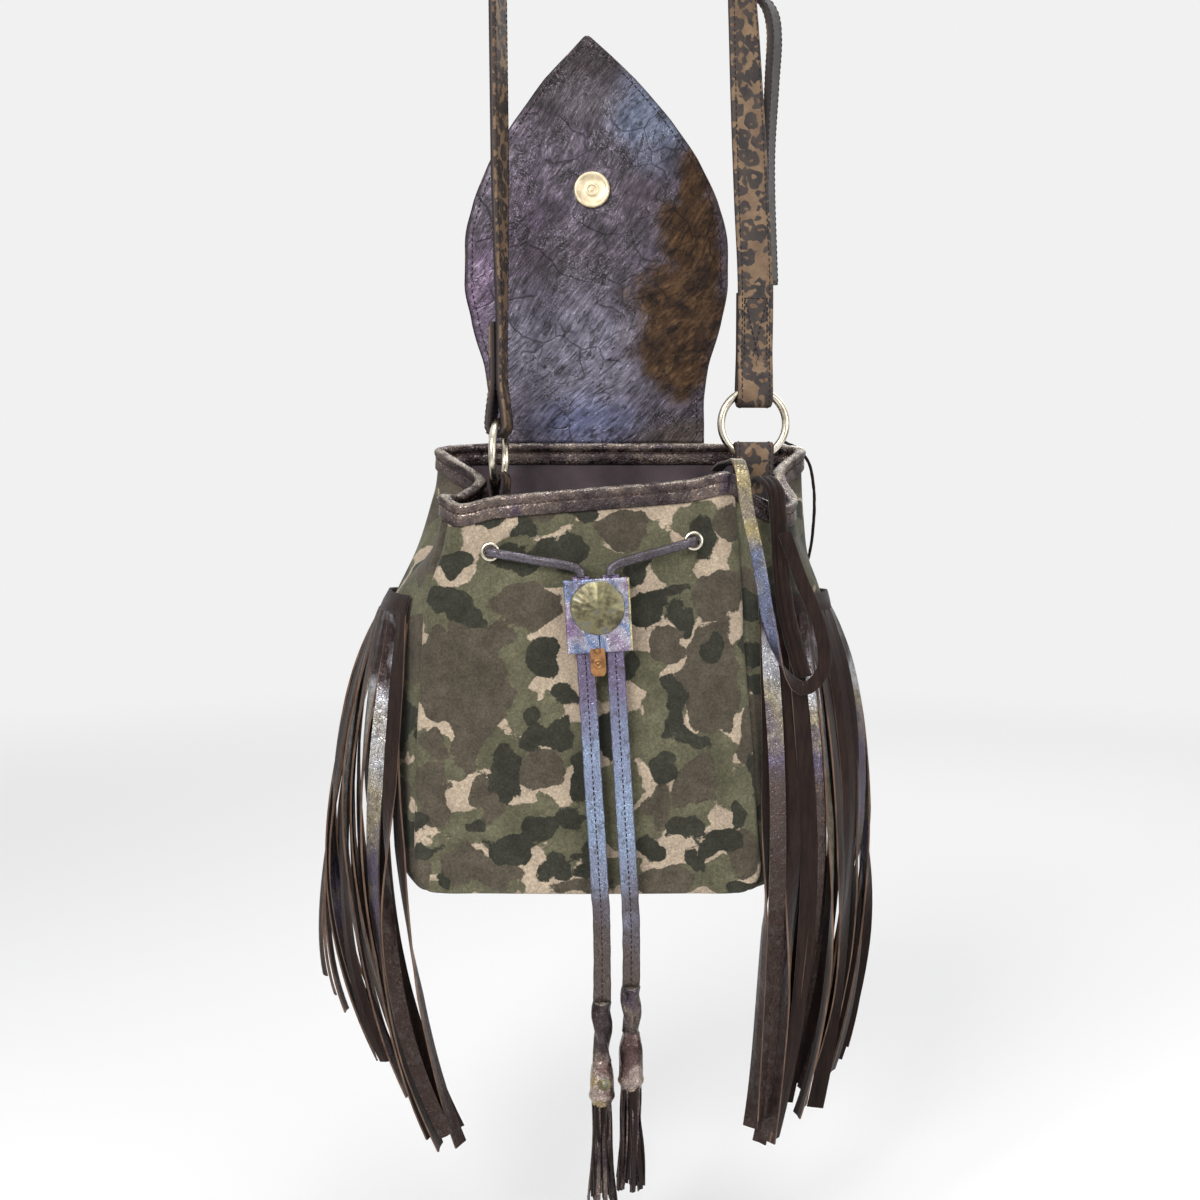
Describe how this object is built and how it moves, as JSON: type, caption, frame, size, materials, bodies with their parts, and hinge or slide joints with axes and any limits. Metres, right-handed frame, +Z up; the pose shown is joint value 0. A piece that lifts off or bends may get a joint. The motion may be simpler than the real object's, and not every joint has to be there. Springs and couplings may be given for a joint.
{
  "type": "drawstring bag",
  "caption": "Fringed suede drawstring shoulder bag with a standing hide flap, a rolled leather rim and a long strap on metal rings.",
  "frame": {"origin": "under the top of the strap's arch, where it hangs over a peg", "axes": "+Z up, -Y the way the front panel faces, +X to the right as seen from the front"},
  "size_m": [0.3654, 0.1217, 0.9449],
  "materials": {
    "camo_suede": "napped suede printed with a four-colour camouflage pattern",
    "binding_leather": "creased bronze foil leather",
    "lining_cloth": "plain dark twill",
    "nickel": "polished nickel plate",
    "brass": "aged brass",
    "hide": "hair-on hide with a silvery metallic wash",
    "print_leather": "leather with a spotted animal print",
    "dark_suede": "very dark brown suede with tan cut edges",
    "blue_leather": "foil leather, blue and lilac"
  },
  "bodies": {
    "bag": {"front_panel": "camo_suede", "back_panel": "camo_suede", "gusset_left": "camo_suede", "gusset_right": "camo_suede", "base_panel": "camo_suede", "rim_binding": "binding_leather", "lining": "lining_cloth", "eyelet_front_left": "nickel", "eyelet_front_right": "nickel", "eyelet_back_left": "nickel", "eyelet_back_right": "nickel", "drawstring": "binding_leather", "drawstring_tail_left": "blue_leather", "drawstring_tail_right": "blue_leather", "tassel_cap_left": "binding_leather", "tassel_cap_right": "binding_leather", "tassel_strands_left": "binding_leather", "tassel_strands_right": "binding_leather", "flap_root": "hide", "ring_tab_left": "print_leather", "ring_tab_right": "print_leather", "strap_long": "print_leather", "strap_short": "print_leather", "strap_rivet": "dark_suede", "strap_buckle": "nickel", "fringe_left_inner": "dark_suede", "fringe_left_outer": "dark_suede", "fringe_right_inner": "dark_suede", "fringe_right_outer": "dark_suede", "lace_metallic": "binding_leather", "lace_suede": "dark_suede", "lace_rear": "dark_suede"},
    "flap": {"flap_inner": "hide", "flap_outer": "hide", "snap_disc": "brass"},
    "slider": {"drawstring_slider": "blue_leather", "concho": "brass", "concho_post": "brass", "small_tag": "brass", "tag_rivet": "brass"},
    "ring_left": {"ring_left": "nickel"},
    "ring_right": {"ring_right": "nickel"}
  },
  "joints": [
    {"name": "flap_hinge", "type": "hinge", "parent": "bag", "child": "flap", "pos_m": [-0.0128, 0.0528, -0.459], "axis": [1, 0, 0], "range_deg": [-170, 3]},
    {"name": "slider_slide", "type": "slide", "parent": "bag", "child": "slider", "axis": [0.0593, 0, -0.9982], "range_m": [0, 0.165]},
    {"name": "ring_left_turn", "type": "hinge", "parent": "bag", "child": "ring_left", "pos_m": [-0.0755, 0, -0.465], "axis": [0.9903, -0.1392, 0], "continuous": true},
    {"name": "ring_right_turn", "type": "hinge", "parent": "bag", "child": "ring_right", "pos_m": [0.0884, 0, -0.446], "axis": [0.1045, -0.9945, 0], "continuous": true}
  ]
}
